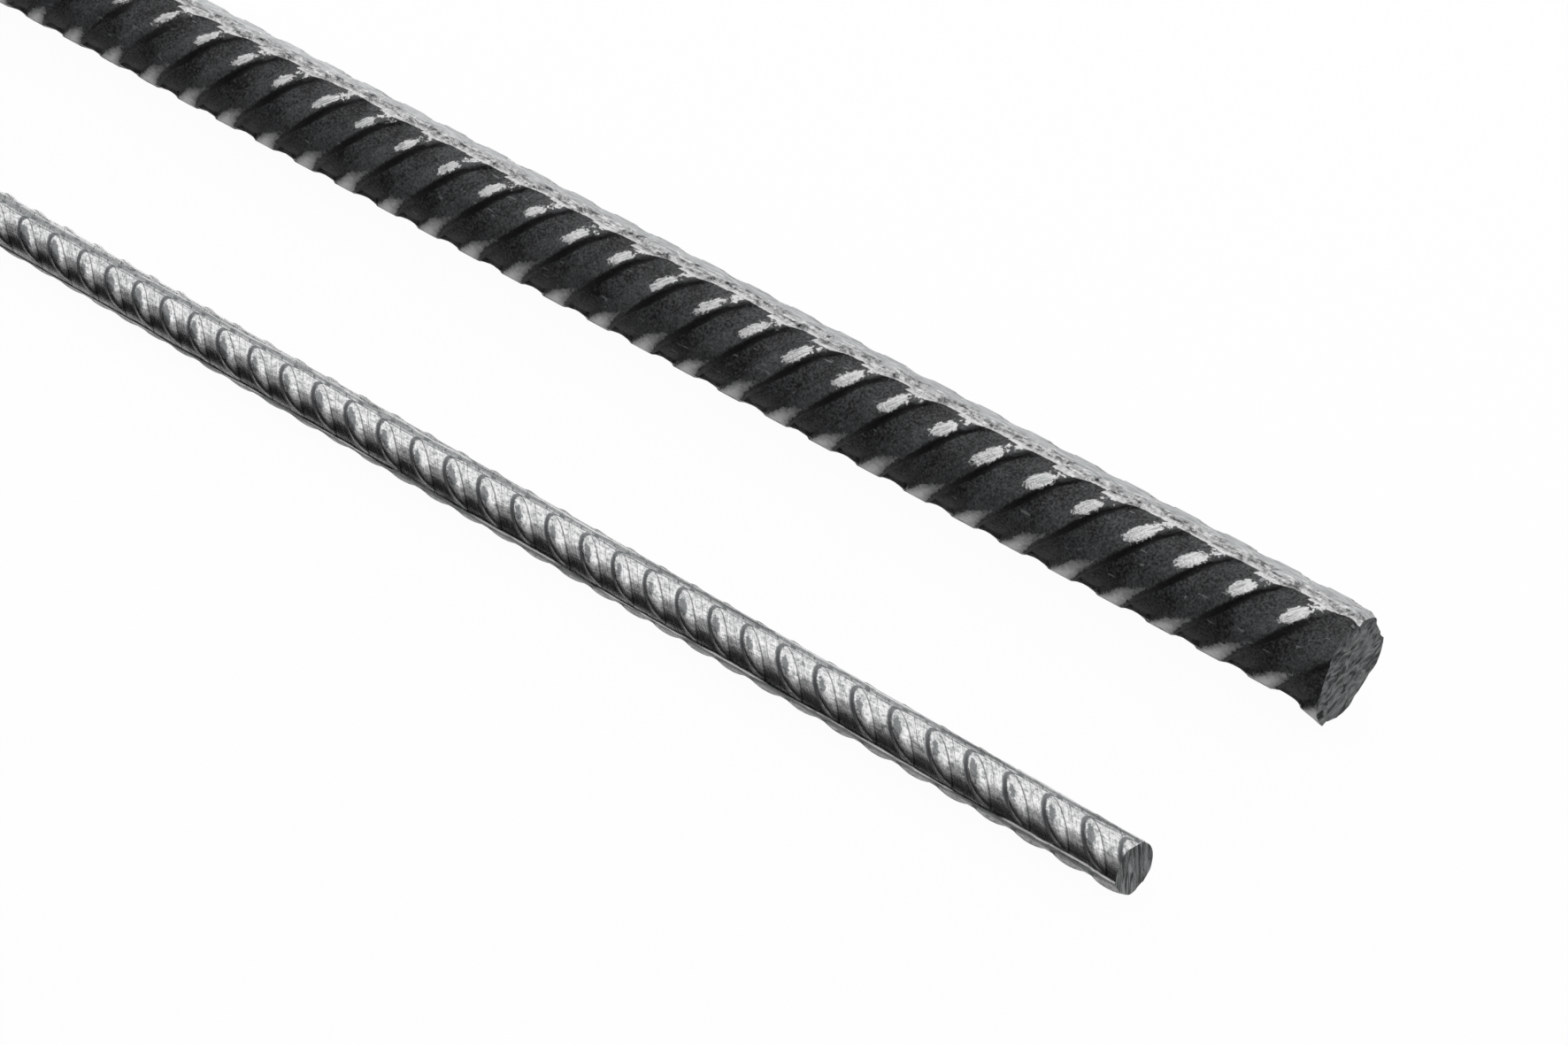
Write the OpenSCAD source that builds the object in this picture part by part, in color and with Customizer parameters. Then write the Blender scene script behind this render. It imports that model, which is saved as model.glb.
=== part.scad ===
// Two loose reinforcing bars lying side by side on a level floor: a hot-rolled
// ribbed bar and a slimmer cold-rolled ribbed wire, cut to the same length and
// squared up at one end. Their transverse ribs are surface relief and aren't
// modelled here. X runs along the bars, Z is up, and the origin is the bottom
// centre of the pair.

/* [Pair] */
// Length that both bars are cut to
bar_length = 1000; // [300:50:6000]
// Distance between the two bars' axes, across the floor
bar_spacing = 38.5; // [25:0.5:200]
// How far the thick bar's trimmed end stands back from the thin bar's
end_setback = 0; // [0:0.5:60]

/* [Thick bar] */
// Diameter of the thick bar's round core
thick_core_d = 11.4; // [9:0.1:32]
// Height of the two lengthwise ribs above the core
long_rib_h = 0.8; // [0.4:0.1:2]
// Width of a lengthwise rib across its crest
long_rib_crest_w = 3.4; // [1:0.1:5]
// Width of the slope on each side of a lengthwise rib
long_rib_side_w = 0.9; // [0.3:0.1:1.5]
// How far the upper lengthwise rib leans from straight up, away from the thin bar
long_rib_lean = 32; // [0:1:70]
// How far the thick bar's trimmed end is off square, in degrees
thick_cut_angle = 0; // [0:0.5:15]

/* [Thin bar] */
// Nominal diameter of the thin bar: a plain round wire of its weight has it
thin_d = 6; // [4:0.1:16]
// How far the thin bar's trimmed end is off square, in degrees
thin_cut_angle = 3; // [0:0.5:15]

/* [Hidden] */
$fn = 96;

thick_core_r = thick_core_d / 2;
thick_over_r = thick_core_r + long_rib_h;
thin_r = thin_d / 2;

// The rib's sides run from its feet on the core to its crest's corners
rib_crest_half = long_rib_crest_w / 2;
rib_foot_half = rib_crest_half + long_rib_side_w;
rib_crest_y = sqrt(pow(thick_over_r, 2) - pow(rib_crest_half, 2));
rib_foot_y = sqrt(pow(thick_core_r, 2) - pow(rib_foot_half, 2));
rib_side_slope = long_rib_side_w / (rib_crest_y - rib_foot_y);

// The thick bar lies on its core or on the lower lengthwise rib's near corner
rib_corner_angle = asin(rib_crest_half / thick_over_r);
lowest_corner_angle = max(0, long_rib_lean - rib_corner_angle);
thick_axis_z = max(thick_core_r, thick_over_r * cos(lowest_corner_angle));
thin_axis_z = thin_r;

// Half the thick bar's width, over its core or a lengthwise rib's far corner
widest_corner_angle = min(90, long_rib_lean + rib_corner_angle);
thick_half_w = max(thick_core_r, thick_over_r * sin(widest_corner_angle));

// Places that put the origin at the middle of the pair's outline
thick_axis_y = (bar_spacing + thin_r - thick_half_w) / 2;
thin_axis_y = thick_axis_y - bar_spacing;
thin_end_x = (bar_length + end_setback) / 2;
thick_end_x = thin_end_x - end_setback;

// Side of the block that trims an end, well over the section and the slant
trim_block = 6 * thick_over_r;

// Outline of one lengthwise rib, standing up from the axis
module long_rib_outline() {
    tip_half = rib_crest_half - (thick_over_r - rib_crest_y) * rib_side_slope;
    polygon([
        [-rib_foot_half, 0],
        [rib_foot_half, 0],
        [rib_foot_half, rib_foot_y],
        [tip_half, thick_over_r],
        [-tip_half, thick_over_r],
        [-rib_foot_half, rib_foot_y],
    ]);
}

// Round core with two lengthwise ribs opposite each other
module thick_section() {
    circle(r = thick_core_r);
    intersection() {
        circle(r = thick_over_r);
        union() {
            long_rib_outline();
            rotate(180) long_rib_outline();
        }
    }
}

// Carries a section along X, ending at x = 0, and trims that end off square
// about the corner that sticks out furthest
module bar(half_w, cut_angle) {
    difference() {
        translate([-bar_length, 0, 0]) rotate([90, 0, 90])
            linear_extrude(height = bar_length + half_w) children();
        translate([0, half_w, 0]) rotate([0, 0, -cut_angle])
            translate([0, -trim_block / 2, -trim_block / 2]) cube(trim_block);
    }
}

// Hot-rolled bar under black mill scale
module thick_bar() {
    color("#2e2f2f")
        translate([thick_end_x, thick_axis_y, thick_axis_z])
            bar(thick_half_w, thick_cut_angle) rotate(-long_rib_lean) thick_section();
}

// Cold-rolled wire, bright steel
module thin_bar() {
    color("#8f9393")
        translate([thin_end_x, thin_axis_y, thin_axis_z])
            bar(thin_r, thin_cut_angle) circle(r = thin_r);
}

thick_bar();
thin_bar();
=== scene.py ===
"""Looks of a pair of loose reinforcing bars: a thick hot-rolled ribbed bar under
black mill scale and a thin, bright cold-rolled ribbed wire.

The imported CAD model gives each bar's axis, length and end cuts. This script lays
the rolled relief over them: the thick bar's slanted ribs between its two
lengthwise ribs, and the wire's three rows of crescent ribs with a seam between
each two. It also shapes the trimmed ends and gives both bars their finish. Lengths in
the functions below are millimetres until a mesh is made, which is in metres.
"""

import math

import bpy
import numpy as np
from bpy.props import FloatProperty, PointerProperty
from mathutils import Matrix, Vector


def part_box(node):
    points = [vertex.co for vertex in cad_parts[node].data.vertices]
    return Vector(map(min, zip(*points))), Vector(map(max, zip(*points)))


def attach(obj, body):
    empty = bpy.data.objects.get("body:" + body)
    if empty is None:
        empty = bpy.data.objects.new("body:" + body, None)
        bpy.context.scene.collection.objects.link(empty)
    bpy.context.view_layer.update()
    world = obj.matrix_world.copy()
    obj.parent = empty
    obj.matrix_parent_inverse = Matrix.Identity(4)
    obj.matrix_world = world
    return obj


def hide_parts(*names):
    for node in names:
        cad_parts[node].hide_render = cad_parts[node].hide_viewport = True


bl_info = {
    "name": "Reinforcing Bar Pair",
    "version": (1, 0, 0),
    "blender": (4, 5, 0),
    "location": "View3D > Sidebar > Bars",
    "description": "Rolled relief, cut ends and finishes for two reinforcing bars",
    "category": "Object",
}

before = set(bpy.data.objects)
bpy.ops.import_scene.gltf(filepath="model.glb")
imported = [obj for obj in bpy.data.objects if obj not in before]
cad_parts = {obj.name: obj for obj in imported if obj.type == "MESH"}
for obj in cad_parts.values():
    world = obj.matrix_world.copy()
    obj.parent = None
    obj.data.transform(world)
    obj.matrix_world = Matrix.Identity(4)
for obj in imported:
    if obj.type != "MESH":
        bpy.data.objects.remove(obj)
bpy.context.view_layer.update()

MM = 0.001
TURN = 2 * math.pi
# Length from the trimmed end where the mesh has its finest rows, in millimetres
FINE_LENGTH = 180


# ---------------------------------------------------------------- shape helpers


def ease(value):
    """Smooth step: 3v^2 - 2v^3 of v clipped to 0..1, flat at both ends."""
    v = np.clip(value, 0.0, 1.0)
    return v * v * (3 - 2 * v)


def blend_max(a, b, width):
    """The larger of two heights with a round fillet: where they differ by less
    than width, (width - |a - b|)^2 / (4 width) is added."""
    near = np.clip(width - np.abs(a - b), 0.0, None)
    return np.maximum(a, b) + near * near / (4 * width)


def hashed(number, salt):
    """A repeatable value in 0..1 for each whole number: the fraction of a large
    multiple of its sine."""
    value = np.sin(number * 12.9898 + salt * 78.233) * 43758.5453
    return value - np.floor(value)


def ripple(along, step, salt):
    """A smooth random line between -0.5 and 0.5: hashed values every step, joined
    by smooth steps."""
    place = along / step
    index = np.floor(place)
    share = ease(place - index)
    return hashed(index, salt) * (1 - share) + hashed(index + 1, salt) * share - 0.5


def crowded(count, density):
    """count places in 0..1, closer together where density(t) is higher: the
    running total of the density, turned inside out."""
    t = np.linspace(0.0, 1.0, 2001)
    total = np.concatenate([[0.0], np.cumsum(density((t[:-1] + t[1:]) / 2))])
    return np.interp(np.arange(count) / count, total / total[-1], t)


# ---------------------------------------------------------------- mesh building


def closed_skin(name, points, uv, fields, ends, face_rows):
    """A closed skin from a grid of points: rows run along the bar and columns go
    round it, and one point closes each end. The first and last face_rows rows of
    faces, and the fans that close them, take the second material. uv has one
    column more than points has, so its seam doesn't turn back on itself. Each of
    fields is a number for every point, kept as an attribute of that name."""
    rows, columns = points.shape[:2]
    row, column = np.meshgrid(np.arange(rows - 1), np.arange(columns), indexing="ij")
    after = (column + 1) % columns
    corners = [
        row * columns + column,
        row * columns + after,
        (row + 1) * columns + after,
        (row + 1) * columns + column,
    ]
    quads = np.stack(corners, axis=-1).reshape(-1, 4)
    ring = np.arange(columns)
    turned = (ring + 1) % columns
    last = (rows - 1) * columns
    pole = np.full(columns, rows * columns)
    start_fan = np.stack([turned, ring, pole], axis=-1)
    end_fan = np.stack([last + ring, last + turned, pole + 1], axis=-1)
    loops = np.concatenate([quads.ravel(), start_fan.ravel(), end_fan.ravel()])
    sizes = np.concatenate([np.full(len(quads), 4), np.full(2 * columns, 3)])
    starts = np.concatenate([[0], np.cumsum(sizes)[:-1]])

    mesh = bpy.data.meshes.new(name)
    vertices = np.concatenate([points.reshape(-1, 3), ends]) * MM
    mesh.vertices.add(len(vertices))
    mesh.vertices.foreach_set("co", vertices.ravel())
    mesh.loops.add(len(loops))
    mesh.loops.foreach_set("vertex_index", loops.astype(np.int32))
    mesh.polygons.add(len(sizes))
    mesh.polygons.foreach_set("loop_start", starts.astype(np.int32))
    mesh.polygons.foreach_set("use_smooth", np.ones(len(sizes), dtype=bool))
    on_end = (row < face_rows) | (row >= rows - 1 - face_rows)
    material = np.concatenate([on_end.ravel(), np.ones(2 * columns, dtype=bool)])
    mesh.polygons.foreach_set("material_index", material.astype(np.int32))
    mesh.update(calc_edges=True)

    corner_row = np.stack([row, row, row + 1, row + 1], axis=-1).reshape(-1, 4)
    corner_column = np.stack([column, column + 1, column + 1, column], axis=-1).reshape(-1, 4)
    start_uv = np.stack([uv[0, ring + 1], uv[0, ring], uv[0, ring]], axis=1)
    end_uv = np.stack([uv[-1, ring], uv[-1, ring + 1], uv[-1, ring]], axis=1)
    parts = [uv[corner_row, corner_column], start_uv, end_uv]
    layer = mesh.uv_layers.new(name="RibMap")
    layer.data.foreach_set("uv", np.concatenate([part.reshape(-1, 2) for part in parts]).ravel())
    for key, values in fields.items():
        attribute = mesh.attributes.new(key, "FLOAT", "POINT")
        whole = np.concatenate([values.ravel(), values[0, :1], values[-1, :1]])
        attribute.data.foreach_set("value", whole.astype(np.float32))
    mesh.set_sharp_from_angle(angle=math.radians(50))
    mesh.validate()
    piece = bpy.data.objects.new(name, mesh)
    bpy.context.scene.collection.objects.link(piece)
    return piece


def end_rings(rim, centre, shares, rise):
    """Rings that close an end: each lies a share of the way from the centre to the
    rim, and stands out along the bar by rise times one minus the share squared.
    Inside 0.8 of the way the rim is taken as its own average over a sixth of a
    turn, which blends into the true rim by 0.95, so a burr stays at the edge."""
    span = len(rim) // 12
    calm = np.mean([np.roll(rim, step, axis=0) for step in range(-span, span + 1)], axis=0)
    share = np.asarray(shares)[:, None, None]
    outer = ease((share - 0.8) / 0.15)
    shape = calm[None] * (1 - outer) + rim[None] * outer
    rings = centre + (shape - centre) * share
    rings[..., 0] += rise * (1 - share[..., 0] ** 2)
    return rings


# ---------------------------------------------------------------- the thick bar


class ThickShape:
    """The thick bar's section and relief. The angle around starts at the middle of
    the upper lengthwise rib and grows down the near side. Along is zero at the
    trimmed end and negative behind it. Angles are in radians."""

    # Angle from a side's middle to which the grid leans, near the lengthwise ribs
    REACH = 1.13
    # Angle that a lengthwise rib's sloping side takes up
    LONG_FLANK = 0.15
    # How far the upper and the lower lengthwise rib dip between two slanted ribs
    UPPER_DIP = 0.2
    LOWER_DIP = 0.36
    # Angle from a side's middle to the wear on the upper and the lower one
    UPPER_RIM = 1.15
    LOWER_RIM = 1.36
    # Angle of the worn ovals' middles from a side's middle
    OVAL_ANGLE = -0.55
    # Where the blade came out, and where the top edge rolled over, on each end
    BURR_ANGLE = math.radians(163)
    FLARE_ANGLE = math.radians(161)
    ROLLED_ANGLE = math.radians(20)

    def __init__(self, sizes):
        low, high = (np.array(corner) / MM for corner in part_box("thick_bar"))
        self.core = sizes.core_radius / MM
        self.long_rib = sizes.long_rib_height / MM
        self.long_crest = sizes.long_rib_crest / MM
        self.cross_rib = sizes.cross_rib_height / MM
        self.crest = sizes.rib_crest / MM
        self.flank = sizes.rib_flank / MM
        self.pitch = sizes.rib_pitch / MM
        self.lead = sizes.rib_lead / MM
        self.last_rib = sizes.last_rib_setback / MM
        self.turn = math.pi / 2 - sizes.long_rib_lean
        self.cut_across = math.tan(sizes.cut_across)
        self.cut_up = math.tan(sizes.cut_up)
        self.far = low[0]
        self.near = high[0]
        self.axis_y = (low[1] + high[1]) / 2
        self.axis_z = (low[2] + high[2]) / 2

    def columns(self, count):
        """Angles round the section, crowded on the lengthwise ribs' sides."""

        def density(t):
            degrees = t * 360 % 180
            sides = np.exp(-(((degrees - 21) / 9) ** 2)) + np.exp(-(((degrees - 159) / 9) ** 2))
            return 1 + 1.3 * sides

        return crowded(count, density) * TURN

    def rows(self, fine, coarse):
        """Stations back from the trimmed end, crowded on the slanted ribs' flanks:
        fine of them to a rib in the near quarter and coarse of them in the rest."""

        def density(t):
            off = (np.abs(t - 0.5) * self.pitch - self.crest / 2 - self.flank / 2) / 0.7
            return 1 + 2.0 * np.exp(-(off**2))

        def run(first, last, count):
            steps = np.arange(first, last)[:, None] + crowded(count, density) - 0.5
            return (steps * self.pitch - self.last_rib).ravel()

        length = self.near - self.far
        split = -int(FINE_LENGTH // self.pitch)
        far = -int(length // self.pitch)
        along = np.concatenate([run(far, split, coarse), run(split, 1, fine)])
        along = along[(along > 9 - length) & (along < -14)]
        start = np.linspace(-length, along[0], 30, endpoint=False)
        middle = np.linspace(along[-1], -2.4, 36)[1:]
        end = np.linspace(-2.4, 0.0, 11)[1:]
        return np.concatenate([start, along, middle, end])

    def grid(self, along, around):
        """Stations for every column: the grid's lines lean with the slanted ribs,
        and come back square across the lengthwise ribs and at both ends."""
        local = around % math.pi - math.pi / 2
        back = np.clip((np.abs(local) - self.REACH) / (math.pi / 2 - self.REACH), 0.0, 1.0)
        slide = -self.lead * np.clip(local, -self.REACH, self.REACH) * (1 - back)
        length = self.near - self.far
        window = ease((along + length) / 16.0) * ease(-along / 16.0)
        return along[:, None] + window[:, None] * slide[None, :]

    def phase(self, along, around):
        """Place in the pattern of slanted ribs, in ribs: each rib is a helix, so it
        moves along the bar in step with the angle."""
        local = around % math.pi - math.pi / 2
        half = np.floor(around / math.pi)
        return (along + self.last_rib + self.lead * local) / self.pitch + 0.5 * half

    def ridge(self, along, around):
        """Where a point lies on the slanted ribs: its angle from the middle of the
        side, its side, its rib, how far it is off the rib's crest line, and a share
        that falls from one on the crest to nothing at the foot. The flanks are wide
        at the rib's middle and steep at its ends, where the crest spreads."""
        local = around % math.pi - math.pi / 2
        half = np.floor(around / math.pi) % 2
        phase = self.phase(along, around)
        index = np.round(phase)
        off = (phase - index - (hashed(index, half + 1) - 0.5) * 0.04) * self.pitch
        flank = self.flank * np.interp(np.abs(local), [0.1, 0.5, 0.8, 1.1], [1.0, 0.8, 0.5, 0.35])
        near_upper = np.clip((-local - 0.6) / 0.5, 0.0, 1.0) ** 2
        near_lower = np.clip((local - 0.6) / 0.5, 0.0, 1.0) ** 2
        right = off - self.crest / 2 - 0.3 * near_upper - 0.5 * near_lower
        left = -off - self.crest / 2 - 0.5 * near_upper - 0.3 * near_lower
        return local, half, index, off, ease(1 - np.maximum(left, right) / flank)

    def radius(self, along, around):
        """The core, the flat-topped lengthwise ribs and the flat-topped slanted
        ribs, whose crests run out over the lengthwise ribs' edges. Between the
        slanted ribs a lengthwise rib dips, the lower one most."""
        local, half, index, _, ridge = self.ridge(along, around)
        cross = ridge * self.cross_rib * (0.96 + 0.08 * hashed(index, half + 7))

        aside = math.pi / 2 - np.abs(local)
        corner = math.asin(self.long_crest / 2 / (self.core + self.long_rib))
        plane = (self.core + self.long_rib) * math.cos(corner)
        top = plane / np.cos(np.minimum(aside, corner)) - self.core
        over = ease(aside / corner)
        upper = (local < 0) == (half == 0)
        dip = np.where(upper, self.UPPER_DIP, self.LOWER_DIP)
        side = ease((corner + self.LONG_FLANK - aside) / self.LONG_FLANK)
        lengthwise = (top - dip * over * (1 - ridge)) * side
        fillet = 0.12
        return self.core + blend_max(cross * over, lengthwise, fillet)

    def surface(self, fine, coarse, columns):
        """Points, rib map and wear of the skin between the end faces."""
        around = self.columns(columns)
        along = self.rows(fine, coarse)
        place = self.grid(along, around)
        angle = np.broadcast_to(around, place.shape)
        radius = self.radius(place, angle)
        radius, stretch = self.sheared_end(place, angle, radius)
        y = radius * np.cos(angle + self.turn)
        z = radius * np.sin(angle + self.turn)
        lean = ease(1 + place / 12.0) * (self.cut_across * y + self.cut_up * z)
        x = place + lean + stretch
        points = np.stack([x + self.near, y + self.axis_y, z + self.axis_z], axis=-1)
        wide = np.append(around, TURN)
        shown = np.concatenate([place, place[:, :1]], axis=1)
        half = np.floor(wide / math.pi)
        half[-1] = 1
        local = wide - half * math.pi - math.pi / 2
        across = shown + self.last_rib + self.lead * local + 0.5 * half * self.pitch
        uv = np.stack([across, np.broadcast_to(wide * self.core, across.shape)], axis=-1)
        return points, uv, self.wear(place, angle)

    def wear(self, along, around):
        """Where the black scale has rubbed off, as millimetres inside each worn
        patch: ovals on the slanted ribs' crests, the lengthwise ribs, the slanted
        ribs' lower ends, and scuffs between an oval and the lengthwise rib. Last
        come how far a point lies inside a slanted rib's steep side, which carries
        painted shade, and its crest."""
        local, half, index, off, ridge = self.ridge(along, around)
        slope = math.atan2(self.core, self.lead)
        middle = self.OVAL_ANGLE + 0.07 * (hashed(index, half + 13) - 0.5)
        run = (local - middle) * self.core / math.sin(slope)
        square = (off - 0.35) * math.sin(slope) - 0.10 * run
        back = ease((-along - 45) / 60)
        wide = 0.74 + 0.14 * hashed(index, half + 11) - 0.16 * back
        long = 1.65 + 0.45 * hashed(index, half + 12) - 0.5 * back * hashed(index, half + 16)
        # The ovals are superellipses of this power, a little squarer than ellipses
        power = 2.4
        reach = (np.abs(square / wide) ** power + np.abs(run / long) ** power) ** (1 / power)
        inside = (1 - reach) * wide - 0.6 * ease(1 + along / 4)
        dip = ridge * (0.6 + 0.9 * hashed(index, half + 14))
        upper = (local < 0) == (half == 0)
        rim = np.where(upper, self.UPPER_RIM, self.LOWER_RIM)
        low = 0.22 + 0.18 * hashed(index, half + 15)
        low_edge = 1.15 + 0.4 * ease((local - 0.6) / 0.5) - np.abs(off + 0.12)
        low_top = (local - low) * self.core * 0.7 - 0.5 * np.abs(off - 0.9)
        breadth = np.interp(
            local, [-1.1, -0.7, -0.2, 0.1, 0.5, 1.0], [0.35, 0.6, 1.1, 0.9, 0.3, -0.3]
        )
        crest = np.minimum(self.crest / 2 - np.abs(off - 0.1), (0.75 - np.abs(local)) * self.core)
        steep = breadth / 2 - np.abs(off - self.crest / 2 - 0.1 - breadth / 2)
        return {
            "worn_oval": np.maximum(inside, -2.0),
            "worn_long_rib": (np.abs(local) - rim) * self.core + dip,
            "worn_low_end": np.minimum(low_edge, low_top),
            "worn_scuff": np.minimum(1.3 - np.abs(off - 0.35), (-0.72 - local) * self.core),
            "steep_side_shade": steep,
            "on_crest": crest,
        }

    def sheared_end(self, place, angle, radius):
        """The blade drags the underside out into a flare and a burr and rolls the
        top edge over. Both are smooth bumps in the angle that grow to each end."""
        length = self.near - self.far
        inner = np.maximum(place, -length - place)
        outward = np.where(place > -length / 2, 1.0, -1.0)
        below = np.exp(-(((angle - self.FLARE_ANGLE) / 0.55) ** 2))
        above = np.clip(np.cos(angle - self.ROLLED_ANGLE), 0.0, 1.0)
        flare = 0.75 * ease(1 + inner / 6.5) ** 1.5 * below
        roll = 0.5 * ease(1 + inner / 1.0) * above
        tip = np.exp(-(((angle - self.BURR_ANGLE) / 0.13) ** 2)) * ease(1 + inner / 1.2)
        ragged = 0.1 * ripple(angle * 20, 2.0, 3) * ease(1 + inner / 0.5)
        return radius + flare - roll + 0.22 * tip + ragged, 0.35 * tip * outward


def closed_bar(name, points, uv, fields, near_rise):
    """Adds the end faces to a bar's skin and makes the piece."""
    shares = (0.97, 0.9, 0.75, 0.5, 0.25)
    far_centre = points[0].mean(axis=0)
    near_centre = points[-1].mean(axis=0)
    far = end_rings(points[0], far_centre, shares, 0.0)[::-1]
    near = end_rings(points[-1], near_centre, shares, near_rise)
    whole = np.concatenate([far, points, near])
    rings = len(shares)

    def padded(rows):
        return np.concatenate([np.repeat(rows[:1], rings, 0), rows, np.repeat(rows[-1:], rings, 0)])

    ends = np.stack([far_centre, near_centre + np.array([near_rise, 0.0, 0.0])])
    padded_fields = {key: padded(values) for key, values in fields.items()}
    return closed_skin(name, whole, padded(uv), padded_fields, ends, rings)


# ---------------------------------------------------------------- the thin bar


class ThinShape:
    """The wire's section and relief. Three rows of ribs run along it, a third of a
    turn each, with a seam between each two, and the whole pattern turns slowly."""

    # Angle from a crescent rib's middle to its tips, which is less in the last row
    REACH = math.radians(52)
    LAST_ROW_REACH = REACH - 0.1
    # Where the rib's middle lies in each row, from the row's own middle
    ROW_MIDDLES = (0.03, -0.08, -0.2)
    # How far the lip on a seam stands up
    LIP_HEIGHT = 0.2
    # The rollers' circumference and where one turn of them begins, the share of a
    # turn in which the ribs close up, and how far they stray each way
    ROLLER = 85
    ROLLER_START = -78
    CLOSING = 0.29
    STRAY = 0.9

    def __init__(self, sizes):
        low, high = (np.array(corner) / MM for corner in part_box("thin_bar"))
        self.core = sizes.core_radius / MM
        self.rib = sizes.rib_height / MM
        self.width = sizes.rib_width / MM
        self.pitch = sizes.rib_pitch / MM
        self.lead = sizes.rib_lead / MM
        self.last_rib = sizes.last_rib_setback / MM
        self.seam = sizes.seam_height / MM
        self.band = sizes.seam_width / MM
        self.seam_angle = sizes.seam_angle
        self.twist = sizes.twist
        self.cut_across = math.tan(sizes.cut_across)
        self.cut_up = math.tan(sizes.cut_up)
        self.far = low[0]
        self.near = high[0]
        self.edge = (high[1] - low[1]) / 2
        self.axis_y = (low[1] + high[1]) / 2
        self.axis_z = (low[2] + high[2]) / 2

    def columns(self, count):
        """Angles round the section from one seam, crowded at the seams' edges."""

        def density(t):
            degrees = np.abs((t * 360 + 60) % 120 - 60)
            return 1 + 2.6 * np.exp(-(((degrees - 6.5) / 4) ** 2))

        return crowded(count, density) * TURN

    def slip(self, along):
        """How far the ribs stray from an even pitch: they fall behind steadily, and
        close up again over about five ribs once in each turn of the rollers."""
        share = (along - self.ROLLER_START) / self.ROLLER % 1
        return np.interp(share, [0, self.CLOSING, 1], [self.STRAY, -self.STRAY, self.STRAY])

    def rows(self, fine, coarse):
        """Stations back from the trimmed end, crowded on the ribs' steep flank. They
        follow the ribs' slipping pitch."""

        def density(t):
            off = ((t - 0.5) * self.pitch + self.width * 0.8) / 0.6
            return 1 + 1.4 * np.exp(-(off**2))

        def run(first, last, count):
            return (np.arange(first, last)[:, None] + crowded(count, density) - 0.5).ravel()

        length = self.near - self.far
        split = -int(FINE_LENGTH // self.pitch)
        far = -int(length // self.pitch)
        steps = np.concatenate([run(far, split, coarse), run(split, 2, fine)])
        table = np.linspace(-length, 0.0, 8001)
        count = (table + self.last_rib - self.slip(table)) / self.pitch
        along = np.interp(steps, count, table)
        along = along[(along > 6 - length) & (along < -7)]
        start = np.linspace(-length, along[0], 16, endpoint=False)
        middle = np.linspace(along[-1], -1.2, 26)[1:]
        end = np.linspace(-1.2, 0.0, 7)[1:]
        return np.concatenate([start, along, middle, end])

    def local(self, around):
        """The angle from the middle of the row of ribs."""
        return around % (TURN / 3) - TURN / 6

    def grid(self, along, around):
        """Stations for every column, leaning with the ribs inside each row."""
        local = self.local(around)
        back = np.clip((np.abs(local) - self.REACH) / (TURN / 6 - self.REACH), 0.0, 1.0)
        slide = self.lead * np.clip(local, -self.REACH, self.REACH) * (1 - back)
        length = self.near - self.far
        window = ease((along + length) / 8.0) * ease(-along / 8.0)
        return along[:, None] + window[:, None] * slide[None, :]

    def pattern(self, along, around):
        """The row, the rib, the place across the rib and the rib's plan, which falls
        from one at the rib's middle to nothing at its tips as a parabola."""
        row = np.floor(around / (TURN / 3))
        local = around - row * (TURN / 3) - TURN / 6
        shifted = along + self.last_rib - self.slip(along) - self.lead * local
        phase = shifted / self.pitch + row / 3
        index = np.round(phase)
        off = (phase - index) * self.pitch
        which = row.astype(int) % 3
        middle = np.choose(which, self.ROW_MIDDLES)
        reach = np.choose(which, (self.REACH, self.REACH, self.LAST_ROW_REACH))
        plan = np.clip(1 - ((local - middle) / reach) ** 2, 0.0, 1.0)
        return row, local, index, off, plan

    def band_edge(self, along, row, local):
        """Distance inside the seam's raised band, whose edges wander."""
        side = np.sign(local)
        salt = row + 3 * side
        wander = 0.42 * ripple(along, 5.0, 5 + salt) + 0.08 * ripple(along, 1.3, 9 + salt)
        return self.band / 2 + wander - (TURN / 6 - np.abs(local)) * self.core

    def lip(self, along, row, local, inside):
        """The sharp lip on one edge of each band, where steel squeezed between two
        rollers: a narrow bell across the edge that comes and goes along the bar."""
        strength = np.clip(0.9 + 2.2 * ripple(along, 6.0, 21 + row), 0.0, 1.0)
        return strength * np.exp(-(((inside - 0.04) / 0.10) ** 2)) * (local > 0)

    def radius(self, along, around):
        """A core with three slightly flattened sides, a low band with a sharp lip on
        its lower edge for each seam, and crescent ribs: lens-shaped in plan, highest
        in the middle, with one steep and one gentle flank."""
        row, local, index, off, plan = self.pattern(along, around)
        across = off / (self.width * np.maximum(plan, 1e-4) ** 0.6)
        ridge = ease((across + 1) / 0.55) * ease((1 - across) / 1.0)
        height = self.rib * (0.92 + 0.16 * hashed(index, row + 9))
        inside = self.band_edge(along, row, local)
        seam = self.seam * ease(inside / 0.14 + 0.5)
        flat = 0.04 * np.cos(local * 1.5)
        lip = self.LIP_HEIGHT * self.lip(along, row, local, inside)
        return self.core - flat + height * plan**1.6 * ridge + seam + lip

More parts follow.
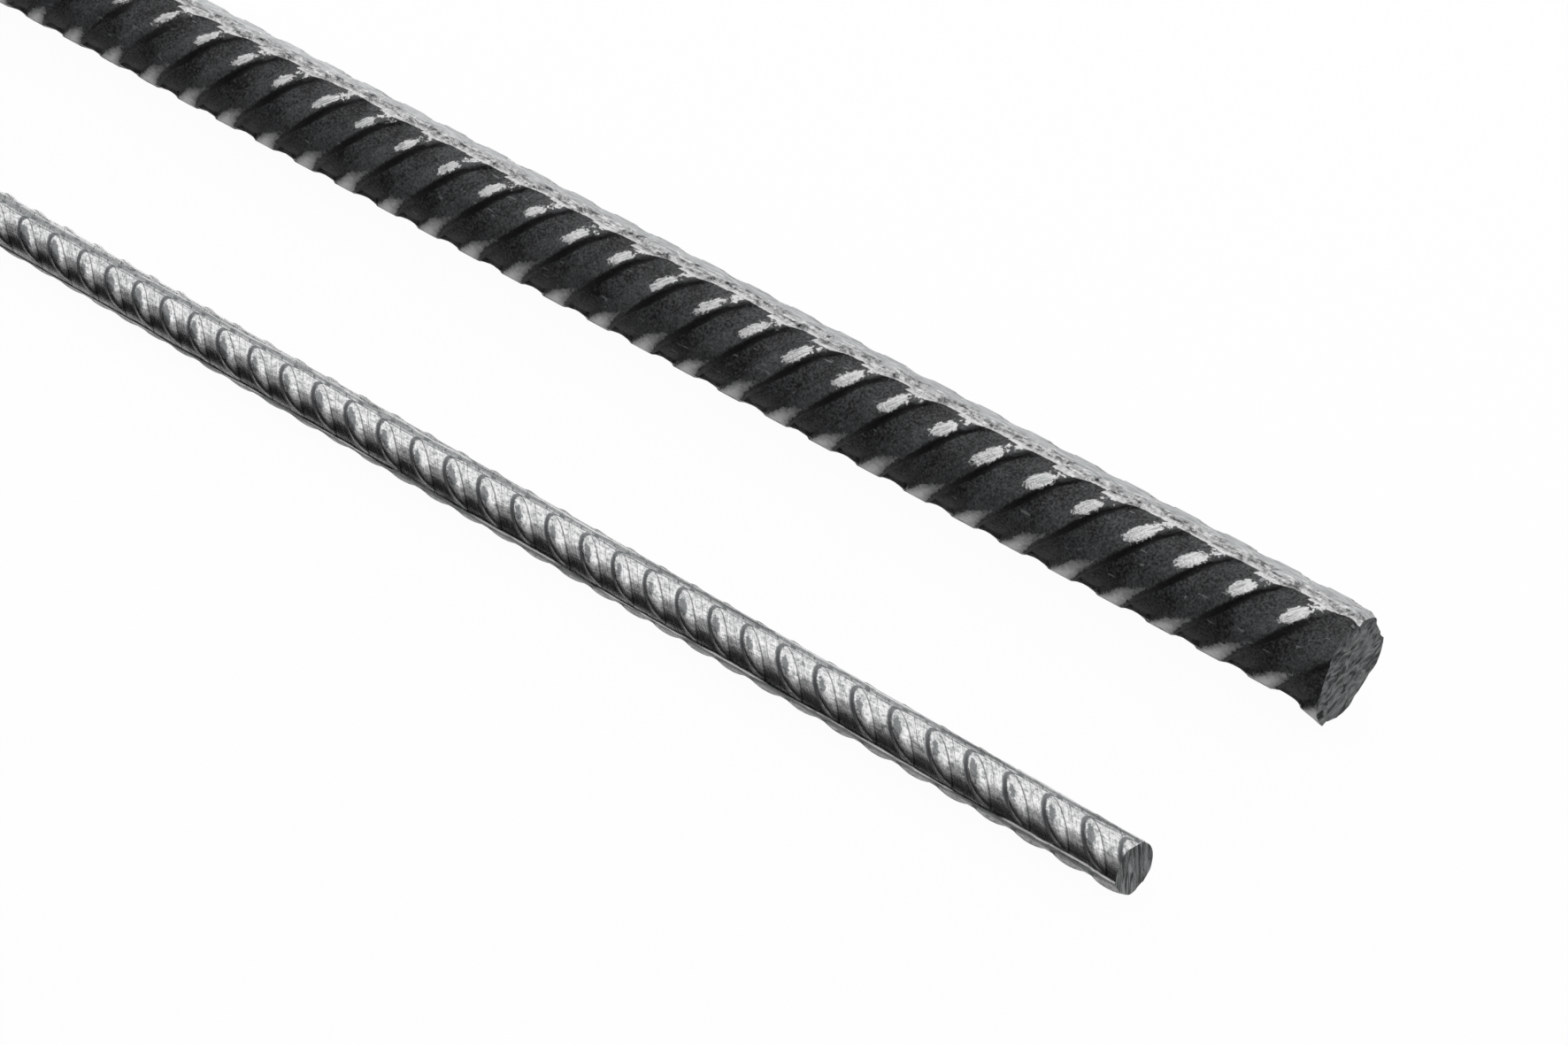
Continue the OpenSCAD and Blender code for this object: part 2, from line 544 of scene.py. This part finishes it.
    def surface(self, fine, coarse, columns):
        """Points, rib map and lines of the skin between the end faces."""
        around = self.columns(columns)
        along = self.rows(fine, coarse)
        place = self.grid(along, around)
        angle = np.broadcast_to(around, place.shape)
        radius = self.radius(place, angle)
        turned = angle + self.seam_angle - self.twist * place
        y = radius * np.cos(turned)
        z = radius * np.sin(turned)
        cut = self.cut_across * (y - self.edge) + self.cut_up * z
        x = place + ease(1 + place / 8.0) * cut
        points = np.stack([x + self.near, y + self.axis_y, z + self.axis_z], axis=-1)
        wide = np.append(around, TURN)
        shown = np.concatenate([place, place[:, :1]], axis=1)
        row = np.minimum(np.floor(wide / (TURN / 3)), 2)
        local = wide - row * (TURN / 3) - TURN / 6
        across = shown + self.last_rib - self.slip(shown) - self.lead * local
        across = across + row * self.pitch / 3
        uv = np.stack([across, np.broadcast_to(wide * self.core, across.shape)], axis=-1)
        return points, uv, self.lines(place, angle)

    def lines(self, along, around):
        """How far each point lies from a rib's steep foot and from its gentle foot,
        both inwards, inside its crown and inside a seam's band, in millimetres, and
        how much of a lip the seam has there, from 0 to 1."""
        row, local, index, off, plan = self.pattern(along, around)
        half = self.width * plan**0.6
        short = np.where(plan > 0, 0.0, 1.0)
        crown = (1 - np.hypot((off + 0.05) / 0.7, (local + 0.16) / 0.40)) * 0.7
        band = self.band_edge(along, row, local)
        return {
            "from_steep_foot": off + half - short,
            "from_gentle_foot": half - off - short,
            "rib_crown": np.maximum(crown - 0.3 * hashed(index, row + 31), -1.0),
            "inside_band": band,
            "seam_lip": self.lip(along, row, local, band),
        }


# ---------------------------------------------------------------- finishes

ATTRIBUTE = "ShaderNodeAttribute"
COORDINATE = "ShaderNodeTexCoord"
MAPPING = "ShaderNodeMapping"
MATH = "ShaderNodeMath"
MIX = "ShaderNodeMix"
NOISE = "ShaderNodeTexNoise"
RANGE = "ShaderNodeMapRange"
# A Mix node for colours has its share at input 0 and its two colours at 6 and 7,
# and gives the result at output 2
COLOUR = {"data_type": "RGBA"}


def linear(code):
    """A hex sRGB colour as linear RGBA."""
    parts = [int(code[k : k + 2], 16) / 255 for k in (1, 3, 5)]
    curve = [p / 12.92 if p <= 0.04045 else ((p + 0.055) / 1.055) ** 2.4 for p in parts]
    return (*curve, 1.0)


def add(tree, kind, inputs=None, out=0, **settings):
    """Adds a node, gives it its settings, links or sets its inputs, and returns one
    of its outputs: the first, or the one that out names."""
    item = tree.nodes.new(kind)
    for key, value in settings.items():
        setattr(item, key, value)
    for key, value in (inputs or {}).items():
        if isinstance(value, bpy.types.NodeSocket):
            tree.links.new(value, item.inputs[key])
        else:
            item.inputs[key].default_value = value
    return item.outputs[out]


def new_material(name):
    """A material with only an output and a Principled shader."""
    material = bpy.data.materials.new(name)
    material.use_nodes = True
    tree = material.node_tree
    return material, tree, tree.nodes["Principled BSDF"]


def black_mill_scale():
    """Hot-rolled steel under black mill scale: a brittle, matt oxide skin with fine
    grain, rubbed through to grey or bright steel where bars touch in the stack.
    The ribs' steep sides get painted shade, and their worn lower ends a painted
    reflection that grows paler towards the lengthwise rib."""
    material, tree, shader = new_material("black_mill_scale")
    place = add(tree, COORDINATE, out="Object")
    mm = add(tree, MAPPING, {"Vector": place, "Scale": (1000, 1000, 1000)})
    ribs = add(tree, "ShaderNodeUVMap", uv_map="RibMap")
    # Streaks lie along the slanted ribs, about 0.25 mm wide and 2 mm long, and
    # scrapes lie along the bar, about 0.4 mm wide and 2 mm long
    lie = add(tree, MAPPING, {"Vector": ribs, "Scale": (4.0, 0.6, 1)})
    scraped = add(tree, MAPPING, {"Vector": place, "Scale": (500, 2400, 2400)})
    worn = {}
    for name in ("oval", "long_rib", "low_end", "scuff"):
        worn[name] = add(tree, ATTRIBUTE, out="Fac", attribute_name="worn_" + name)
    steep = add(tree, ATTRIBUTE, out="Fac", attribute_name="steep_side_shade")
    crest = add(tree, ATTRIBUTE, out="Fac", attribute_name="on_crest")

    # Patterns from 0 to 1, each with its spots to the millimetre: the scale's grain
    # is about 0.3 mm and its clouds are about 4 mm
    pattern = {}
    for name, vector, spots, detail, rough, low, high in (
        ("grain", mm, 3.2, 2.0, 0.6, 0.3, 0.7),
        ("cloud", mm, 0.28, 2.0, 0.5, 0.3, 0.7),
        ("blotch", mm, 1.5, 5.0, 0.7, 0.3, 0.7),
        ("streak", lie, 1.0, 4.0, 0.7, 0.3, 0.7),
        ("scrape", scraped, 1.0, 4.0, 0.7, 0.3, 0.7),
        ("nick", scraped, 0.8, 1.0, 0.5, 0.70, 0.76),
    ):
        look = {"Vector": vector, "Scale": spots, "Detail": detail, "Roughness": rough}
        raw = add(tree, NOISE, look)
        pattern[name] = add(tree, RANGE, {"Value": raw, "From Min": low, "From Max": high})

    terms = {0: pattern["grain"], 1: 2.4, 2: pattern["cloud"]}
    mottle = add(tree, MATH, terms, operation="MULTIPLY_ADD")
    mottle = add(tree, RANGE, {"Value": mottle, "From Min": 0.9, "From Max": 3.5})
    black = add(tree, MIX, {0: mottle, 6: linear("#030404"), 7: linear("#6a6d6e")}, out=2, **COLOUR)
    # The slanted ribs' crests are dusted with grey
    dust = add(tree, RANGE, {"Value": crest, "From Min": 0.0, "From Max": 0.3, "To Max": 0.28})
    dust = add(tree, MATH, {0: dust, 1: pattern["blotch"]}, operation="MULTIPLY")
    black = add(tree, MIX, {0: dust, 6: black, 7: linear("#868a8b")}, out=2, **COLOUR)
    nick = add(tree, MATH, {0: pattern["nick"], 1: 0.6}, operation="MULTIPLY")
    black = add(tree, MIX, {0: nick, 6: black, 7: linear("#9da1a2")}, out=2, **COLOUR)
    # Painted shade: the ribs' steep sides, which face away from the light, are painted near black
    steep = add(tree, RANGE, {"Value": steep, "From Min": -0.05, "From Max": 0.15, "To Max": 0.9})
    black = add(tree, MIX, {0: steep, 6: black, 7: linear("#040404")}, out=2, **COLOUR)

    # Ragged edges: noise of about 0.5 mm moves each patch's edge in and out
    ragged = add(tree, NOISE, {"Vector": mm, "Scale": 1.8, "Detail": 5.0, "Roughness": 0.7})
    wobble = add(tree, MATH, {0: ragged, 1: 0.5}, operation="SUBTRACT")
    mask = {}
    for name, amount in (("oval", 1.3), ("long_rib", 0.45), ("low_end", 1.8)):
        edge = add(tree, MATH, {0: wobble, 1: amount, 2: worn[name]}, operation="MULTIPLY_ADD")
        mask[name] = add(tree, RANGE, {"Value": edge, "From Min": -0.03, "From Max": 0.05})

    # Scuffs: torn flecks of steel on the crest, thicker towards the lengthwise rib
    inside = add(tree, RANGE, {"Value": worn["scuff"], "From Min": -0.05, "From Max": 0.05})
    ends = {"From Min": -0.05, "From Max": 1.2, "To Max": 0.6}
    reach = add(tree, RANGE, {"Value": worn["scuff"], **ends})
    torn = add(tree, MATH, {0: pattern["blotch"], 1: reach}, operation="ADD")
    torn = add(tree, RANGE, {"Value": torn, "From Min": 0.82, "From Max": 0.95})
    mask["scuff"] = add(tree, MATH, {0: torn, 1: inside}, operation="MULTIPLY")
    haze = add(tree, MATH, {0: inside, 1: pattern["streak"]}, operation="MULTIPLY")
    black = add(tree, MIX, {0: haze, 6: black, 7: linear("#5f6263")}, out=2, **COLOUR)

    # The lengthwise rib: scraped smooth on its crest, pitted on its side, and
    # rubbed bright along the side's lower edge
    pits = add(tree, MATH, {0: pattern["scrape"], 1: pattern["blotch"]}, operation="ADD")
    pits = add(tree, RANGE, {"Value": pits, "From Min": 0.5, "From Max": 1.5})
    worn_steel = linear("#ffffff")
    side = add(tree, MIX, {0: pits, 6: linear("#3a3d3e"), 7: worn_steel}, out=2, **COLOUR)
    ends = {"From Min": 0.15, "From Max": 0.6, "To Min": 0.7, "To Max": 0.0}
    lit = add(tree, RANGE, {"Value": worn["long_rib"], **ends})
    side = add(tree, MIX, {0: lit, 6: side, 7: worn_steel}, out=2, **COLOUR)
    greys = {6: linear("#9da0a1"), 7: linear("#eceeef")}
    flat = add(tree, MIX, {0: pattern["scrape"], **greys}, out=2, **COLOUR)
    on_top = add(tree, RANGE, {"Value": worn["long_rib"], "From Min": 1.3, "From Max": 1.8})
    rubbed = add(tree, MIX, {0: on_top, 6: side, 7: flat}, out=2, **COLOUR)

    lines = add(tree, RANGE, {"Value": pattern["streak"], "From Min": 0.1, "From Max": 0.6})
    bright = add(tree, MIX, {0: lines, 6: linear("#a3a7a8"), 7: worn_steel}, out=2, **COLOUR)
    # The slanted ribs' lower ends are worn bare, and painted paler towards the lengthwise rib: a painted
    # reflection of the floor, which they face more there
    ends = {"From Min": 0.0, "From Max": 1.3, "To Max": 0.85}
    wear_and_painted_reflection = add(tree, RANGE, {"Value": worn["low_end"], **ends})
    wear_and_painted_reflection = add(tree, MATH, {0: pattern["blotch"], 1: 0.5, 2: wear_and_painted_reflection}, operation="MULTIPLY_ADD")
    low = add(tree, MIX, {0: wear_and_painted_reflection, 6: linear("#787b7d"), 7: worn_steel}, out=2, **COLOUR)
    colour = black
    metal = mask["oval"]
    for name, finish in (("low_end", low), ("long_rib", rubbed), ("scuff", side), ("oval", bright)):
        colour = add(tree, MIX, {0: mask[name], 6: colour, 7: finish}, out=2, **COLOUR)
        metal = add(tree, MATH, {0: metal, 1: mask[name]}, operation="MAXIMUM")
    rough = add(tree, RANGE, {"Value": metal, "To Min": 0.52, "To Max": 0.40})
    relief = add(tree, MATH, {0: pattern["grain"], 1: pattern["streak"]}, operation="ADD")
    relief = add(tree, MATH, {0: metal, 1: -0.6, 2: relief}, operation="MULTIPLY_ADD")
    bump = add(tree, "ShaderNodeBump", {"Height": relief, "Distance": 0.00006, "Strength": 0.9})
    tree.links.new(colour, shader.inputs["Base Color"])
    tree.links.new(metal, shader.inputs["Metallic"])
    tree.links.new(rough, shader.inputs["Roughness"])
    tree.links.new(bump, shader.inputs["Normal"])
    return material


def cold_rolled_steel():
    """Cold-rolled wire: bright, satin, drawn through rollers that leave fine lines
    along it, with dirt and painted shade at the feet of its ribs, a painted
    highlight along each seam's lip, and dull spots on the ribs' crowns, where
    the rollers lost their grip."""
    material, tree, shader = new_material("cold_rolled_steel")
    place = add(tree, COORDINATE, out="Object")
    mm = add(tree, MAPPING, {"Vector": place, "Scale": (1000, 1000, 1000)})
    ribs = add(tree, "ShaderNodeUVMap", uv_map="RibMap")
    # Drawn lines are about 0.02 mm apart, and are shown at 0.25 mm
    drawn = add(tree, MAPPING, {"Vector": place, "Scale": (700, 4000, 4000)})
    lie = add(tree, MAPPING, {"Vector": ribs, "Scale": (4.5, 0.8, 1)})
    pattern = {}
    for name, vector, spots, detail in (
        ("lines", drawn, 1.0, 3.0),
        ("cloud", mm, 2.0, 4.0),
        ("streak", lie, 1.0, 3.0),
    ):
        look = {"Vector": vector, "Scale": spots, "Detail": detail, "Roughness": 0.7}
        raw = add(tree, NOISE, look)
        pattern[name] = add(tree, RANGE, {"Value": raw, "From Min": 0.3, "From Max": 0.7})
    tone = add(tree, MATH, {0: pattern["lines"], 1: pattern["cloud"]}, operation="ADD")
    tone = add(tree, MATH, {0: tone, 1: pattern["streak"]}, operation="ADD")
    shade = add(tree, RANGE, {"Value": tone, "From Min": 0.6, "From Max": 1.9})
    colour = add(tree, MIX, {0: shade, 6: linear("#7d8182"), 7: linear("#ffffff")}, out=2, **COLOUR)

    field = {}
    for name in ("from_steep_foot", "from_gentle_foot", "rib_crown", "inside_band", "seam_lip"):
        field[name] = add(tree, ATTRIBUTE, out="Fac", attribute_name=name)
    wobble = add(tree, MATH, {0: pattern["cloud"], 1: 0.5}, operation="SUBTRACT")

    # Dull spots on the ribs' crowns, with a wandering edge
    spot = add(tree, MATH, {0: wobble, 1: 0.5, 2: field["rib_crown"]}, operation="MULTIPLY_ADD")
    dull = add(tree, RANGE, {"Value": spot, "From Min": -0.03, "From Max": 0.06, "To Max": 0.85})
    colour = add(tree, MIX, {0: dull, 6: colour, 7: linear("#6c7072")}, out=2, **COLOUR)
    # The seams' bands weren't pressed as hard, and are greyer
    ends = {"From Min": -0.05, "From Max": 0.05, "To Max": 0.7}
    band = add(tree, RANGE, {"Value": field["inside_band"], **ends})
    colour = add(tree, MIX, {0: band, 6: colour, 7: linear("#7f8384")}, out=2, **COLOUR)
    # Dirt and painted shade at the feet: the steep side, which faces away from the light, is painted a
    # darker matt grey, and thin dark lines are painted in the creases at the other feet and at the
    # bands' edges
    foot_dirt_and_shade = {}
    for name, shift, wide, depth, shown in (
        ("from_steep_foot", 0.26, 0.46, 0.9, linear("#6f7375")),
        ("from_gentle_foot", 0.0, 0.16, 0.7, linear("#55585a")),
        ("inside_band", -0.16, 0.12, 0.6, linear("#55585a")),
    ):
        away = add(tree, MATH, {0: field[name], 1: shift}, operation="SUBTRACT")
        away = add(tree, MATH, {0: wobble, 1: wide * 0.5, 2: away}, operation="MULTIPLY_ADD")
        size = add(tree, MATH, {0: away}, operation="ABSOLUTE")
        ends = {"From Min": wide * 0.6, "From Max": wide, "To Min": depth, "To Max": 0.0}
        foot_dirt_and_shade[name] = add(tree, RANGE, {"Value": size, **ends})
        colour = add(tree, MIX, {0: foot_dirt_and_shade[name], 6: colour, 7: shown}, out=2, **COLOUR)
    # Painted highlight: each seam's lip is painted a white, matt line, standing in for the light that
    # its upper side catches from above
    painted_lip_highlight = add(tree, RANGE, {"Value": field["seam_lip"], "From Min": 0.25, "From Max": 0.5})
    colour = add(tree, MIX, {0: painted_lip_highlight, 6: colour, 7: linear("#ffffff")}, out=2, **COLOUR)
    # The steep sides' dirt and painted shade, and the lips' painted highlight, are made matt
    matt = add(tree, MATH, {0: foot_dirt_and_shade["from_steep_foot"], 1: 0.75}, operation="MULTIPLY")
    matt = add(tree, MATH, {0: matt, 1: painted_lip_highlight}, operation="MAXIMUM")
    metal = add(tree, MATH, {0: 0.975, 1: matt}, operation="SUBTRACT", use_clamp=True)
    ends = {"From Min": 0.6, "From Max": 2.1, "To Min": 0.34, "To Max": 0.22}
    rough = add(tree, RANGE, {"Value": tone, **ends})
    bump = add(tree, "ShaderNodeBump", {"Height": tone, "Distance": 0.00002, "Strength": 0.4})
    tree.links.new(colour, shader.inputs["Base Color"])
    tree.links.new(metal, shader.inputs["Metallic"])
    tree.links.new(rough, shader.inputs["Roughness"])
    tree.links.new(bump, shader.inputs["Normal"])
    return material


def torn_steel(name, stretch, dark, light):
    """A cropped end: steel torn by the shear's blade, grey and grainy, with streaks
    drawn in the direction that the blade went. stretch is streaks to the metre."""
    material, tree, shader = new_material(name)
    place = add(tree, COORDINATE, out="Object")
    mm = add(tree, MAPPING, {"Vector": place, "Scale": (1000, 1000, 1000)})
    drawn = add(tree, MAPPING, {"Vector": place, "Scale": stretch})
    streak = add(
        tree,
        NOISE,
        {"Vector": drawn, "Scale": 1.0, "Detail": 4.0, "Roughness": 0.55, "Distortion": 1.4},
    )
    streak = add(tree, RANGE, {"Value": streak, "From Min": 0.38, "From Max": 0.62})
    grain = add(tree, NOISE, {"Vector": mm, "Scale": 4.0, "Detail": 2.0, "Roughness": 0.6})
    tone = add(tree, MATH, {0: grain, 1: 0.6, 2: streak}, operation="MULTIPLY_ADD")
    shade = add(tree, RANGE, {"Value": tone, "From Min": 0.25, "From Max": 1.45})
    colour = add(tree, MIX, {0: shade, 6: linear(dark), 7: linear(light)}, out=2, **COLOUR)
    bump = add(tree, "ShaderNodeBump", {"Height": tone, "Distance": 0.0001, "Strength": 0.9})
    tree.links.new(colour, shader.inputs["Base Color"])
    tree.links.new(bump, shader.inputs["Normal"])
    shader.inputs["Metallic"].default_value = 0.6
    shader.inputs["Roughness"].default_value = 0.5
    return material


def glowing_table():
    """White glass of a light table, bright all over."""
    material, _, shader = new_material("pale_floor")
    shader.inputs["Base Color"].default_value = linear("#1c1c1c")
    shader.inputs["Roughness"].default_value = 0.9
    shader.inputs["Emission Color"].default_value = linear("#ffffff")
    shader.inputs["Emission Strength"].default_value = 0.965
    return material


# ---------------------------------------------------------------- settings


def length_setting(name, description, millimetres):
    """A length property, given in millimetres and kept in metres."""
    return FloatProperty(
        name=name,
        description=description,
        default=millimetres * MM,
        min=0.0,
        unit="LENGTH",
        precision=5,
    )


def angle_setting(name, description, degrees):
    """An angle property, given in degrees."""
    return FloatProperty(
        name=name, description=description, default=math.radians(degrees), subtype="ANGLE"
    )


class ThickBarSettings(bpy.types.PropertyGroup):
    """Sizes of the hot-rolled bar"""

    core_radius: length_setting("Core radius", "Radius of the round core", 5.7)
    long_rib_height: length_setting("Lengthwise rib height", "Height above the core", 0.8)
    long_rib_crest: length_setting("Lengthwise rib crest", "Width across its flat top", 3.4)
    cross_rib_height: length_setting("Slanted rib height", "Height above the core", 0.74)
    rib_crest: length_setting("Slanted rib crest", "Width of its flat top, along the bar", 2.7)
    rib_flank: length_setting("Slanted rib flank", "Width of each sloping side, along the bar", 1.05)
    rib_pitch: length_setting("Rib pitch", "Distance from rib to rib", 7.16)
    rib_lead: length_setting("Rib lead", "How far a rib moves along the bar in one radian", 5.0)
    last_rib_setback: length_setting("Last rib setback", "From the trimmed end to the last rib", 2.2)
    long_rib_lean: angle_setting("Lengthwise rib lean", "From straight up, away from the thin bar", 32.0)
    cut_across: angle_setting("Cut across", "How far the cut leans across the floor", -1.8)
    cut_up: angle_setting("Cut up", "How far the cut leans upwards", 1.1)


class ThinBarSettings(bpy.types.PropertyGroup):
    """Sizes of the cold-rolled wire"""

    core_radius: length_setting("Core radius", "Radius of the round core", 3.03)
    rib_height: length_setting("Rib height", "Height of a crescent rib above the core", 0.4)
    rib_width: length_setting("Rib half width", "From a rib's middle to its foot, along the bar", 1.55)
    rib_pitch: length_setting("Rib pitch", "Distance from rib to rib", 5.2)
    rib_lead: length_setting("Rib lead", "How far a rib moves along the bar in one radian", 2.77)
    last_rib_setback: length_setting("Last rib setback", "From the trimmed end to the last rib", 4.9)
    seam_height: length_setting("Seam height", "Height of the raised band between two rows", 0.05)
    seam_width: length_setting("Seam width", "Width of the raised band between two rows", 0.75)
    seam_angle: angle_setting("Seam angle", "Height of the upper seam at the trimmed end", 66.7)
    twist: FloatProperty(
        name="Twist",
        description="Turn of the rows, in radians per millimetre",
        default=math.radians(0.1),
    )
    cut_across: angle_setting("Cut across", "How far the cut leans across the floor", 3.0)
    cut_up: angle_setting("Cut up", "How far the cut leans upwards", -3.2)


# ---------------------------------------------------------------- operators


class BARS_OT_thick_bar(bpy.types.Operator):
    """Make the hot-rolled bar with its slanted and lengthwise ribs"""

    bl_idname = "bars.thick_bar"
    bl_label = "Thick bar"

    def execute(self, context):
        settings = context.scene.thick_bar_settings
        points, uv, wear = ThickShape(settings).surface(fine=19, coarse=6, columns=72)
        piece = closed_bar("hot_rolled_bar", points, uv, wear, near_rise=0.12)
        piece.data.materials.append(black_mill_scale())
        end = torn_steel("sheared_steel", (700, 380, 800), "#2a2c2d", "#c3c6c7")
        piece.data.materials.append(end)
        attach(piece, "root")
        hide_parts("thick_bar")
        return {"FINISHED"}


class BARS_OT_thin_bar(bpy.types.Operator):
    """Make the cold-rolled wire with its three rows of crescent ribs"""

    bl_idname = "bars.thin_bar"
    bl_label = "Thin bar"

    def execute(self, context):
        settings = context.scene.thin_bar_settings
        points, uv, lines = ThinShape(settings).surface(fine=15, coarse=5, columns=72)
        piece = closed_bar("cold_rolled_wire", points, uv, lines, near_rise=0.05)
        piece.data.materials.append(cold_rolled_steel())
        end = torn_steel("cropped_wire", (900, 1700, 200), "#4c4f50", "#e6e9ea")
        piece.data.materials.append(end)
        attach(piece, "root")
        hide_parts("thin_bar")
        return {"FINISHED"}


class BARS_OT_stage(bpy.types.Operator):
    """Set out the floor, the lights and the camera"""

    bl_idname = "bars.stage"
    bl_label = "Stage"

    def execute(self, context):
        scene = context.scene
        mesh = bpy.data.meshes.new("floor")
        half = 6.0
        # The floor is level with the lowest relief, just below the CAD's lowest point
        drop = -0.0004
        corners = [
            (-half, -half, drop),
            (half, -half, drop),
            (half, half, drop),
            (-half, half, drop),
        ]
        mesh.from_pydata(corners, [], [(0, 1, 2, 3)])
        floor = bpy.data.objects.new("floor", mesh)
        scene.collection.objects.link(floor)
        mesh.materials.append(glowing_table())
        # The floor glows like a light table but throws nothing onto the bars
        for ray in ("visible_diffuse", "visible_glossy", "visible_transmission", "visible_shadow"):
            setattr(floor, ray, False)

        world = bpy.data.worlds.new("studio")
        world.use_nodes = True
        world.node_tree.nodes["Background"].inputs["Color"].default_value = (1, 1, 1, 1)
        world.node_tree.nodes["Background"].inputs["Strength"].default_value = 1.0
        world.cycles_visibility.diffuse = False
        world.cycles_visibility.glossy = False
        scene.world = world
        middle = (0.35, 0.0, 0.0)
        self.lamp("overhead_softbox", (0.35, 0.15, 0.80), (0.35, 0.15, 0.0), 2.4, 1.5, 0.95)
        self.lamp("sloping_softbox", (0.45, -0.84, 0.60), middle, 2.4, 0.62, 0.30)
        self.lamp("back_softbox", (0.0, 0.95, 0.38), (0.0, 0.0, 0.38), 2.8, 0.80, 0.90)
        self.lamp("back_table", (0.4, 0.95, -0.32), (0.4, 0.0, -0.32), 1.6, 0.58, 0.62)
        self.lamp("back_left_table", (-1.2, 0.95, -0.32), (-1.2, 0.0, -0.32), 1.6, 0.58, 1.35)
        self.lamp("front_fill", (0.9, -1.2, 0.10), middle, 2.4, 0.6, 0.09)
        self.lamp("right_fill", (1.7, 0.1, 0.45), middle, 1.2, 0.9, 0.10)
        self.lamp("left_fill", (-1.9, -0.3, 0.50), middle, 1.2, 0.9, 0.30)
        self.lamp("under_light", (0.45, 0.22, -0.50), (0.45, 0.22, 0.0), 2.4, 1.35, 0.34)

        scene.view_settings.view_transform = "Standard"
        camera_data = bpy.data.cameras.new("camera")
        camera_data.sensor_width = 36.0
        camera_data.lens = 114.16
        camera_data.clip_start = 0.01
        camera_data.clip_end = 100.0
        camera = bpy.data.objects.new("camera", camera_data)
        # Past the thick bar's trimmed end, out from its axis, and up from zero height
        ahead, aside, above = 0.2233, 0.3526, 0.3677
        # The thick bar's core radius
        core = 0.0057
        looks_down = math.radians(39.57)
        turned = math.radians(40.97)
        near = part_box("thick_bar")[1]
        axis_y = near[1] - core
        camera.location = (near[0] + ahead, axis_y - aside, above)
        camera.rotation_euler = (math.pi / 2 - looks_down, 0.0, turned)
        scene.collection.objects.link(camera)
        scene.camera = camera
        return {"FINISHED"}

    def lamp(self, name, place, target, length, width, glow):
        """A rectangular soft light at place that faces target. glow is how bright its
        face looks, so its power is that times its area times pi."""
        data = bpy.data.lights.new(name, "AREA")
        data.shape = "RECTANGLE"
        data.size = length
        data.size_y = width
        data.energy = glow * length * width * math.pi
        lamp = bpy.data.objects.new(name, data)
        lamp.location = place
        lamp.rotation_euler = (Vector(target) - Vector(place)).to_track_quat("-Z", "Y").to_euler()
        lamp.visible_camera = False
        bpy.context.scene.collection.objects.link(lamp)


class BARS_PT_panel(bpy.types.Panel):
    """Sizes and make buttons for the bars"""

    bl_label = "Reinforcing Bars"
    bl_idname = "BARS_PT_panel"
    bl_space_type = "VIEW_3D"
    bl_region_type = "UI"
    bl_category = "Bars"

    def draw(self, context):
        layout = self.layout
        for operator in (BARS_OT_thick_bar, BARS_OT_thin_bar, BARS_OT_stage):
            layout.operator(operator.bl_idname)
        for name in ("thick_bar_settings", "thin_bar_settings"):
            settings = getattr(context.scene, name)
            for key in settings.__annotations__:
                layout.prop(settings, key)


CLASSES = (
    ThickBarSettings,
    ThinBarSettings,
    BARS_OT_thick_bar,
    BARS_OT_thin_bar,
    BARS_OT_stage,
    BARS_PT_panel,
)


def register():
    """Registers the classes and hangs the settings on the scene."""
    for cls in CLASSES:
        bpy.utils.register_class(cls)
    bpy.types.Scene.thick_bar_settings = PointerProperty(type=ThickBarSettings)
    bpy.types.Scene.thin_bar_settings = PointerProperty(type=ThinBarSettings)


def unregister():
    """Undoes register, last first."""
    del bpy.types.Scene.thin_bar_settings
    del bpy.types.Scene.thick_bar_settings
    for cls in reversed(CLASSES):
        bpy.utils.unregister_class(cls)


def main():
    """Makes the stage and both bars."""
    register()
    bpy.ops.bars.stage()
    bpy.ops.bars.thick_bar()
    bpy.ops.bars.thin_bar()


if __name__ == "__main__":
    main()
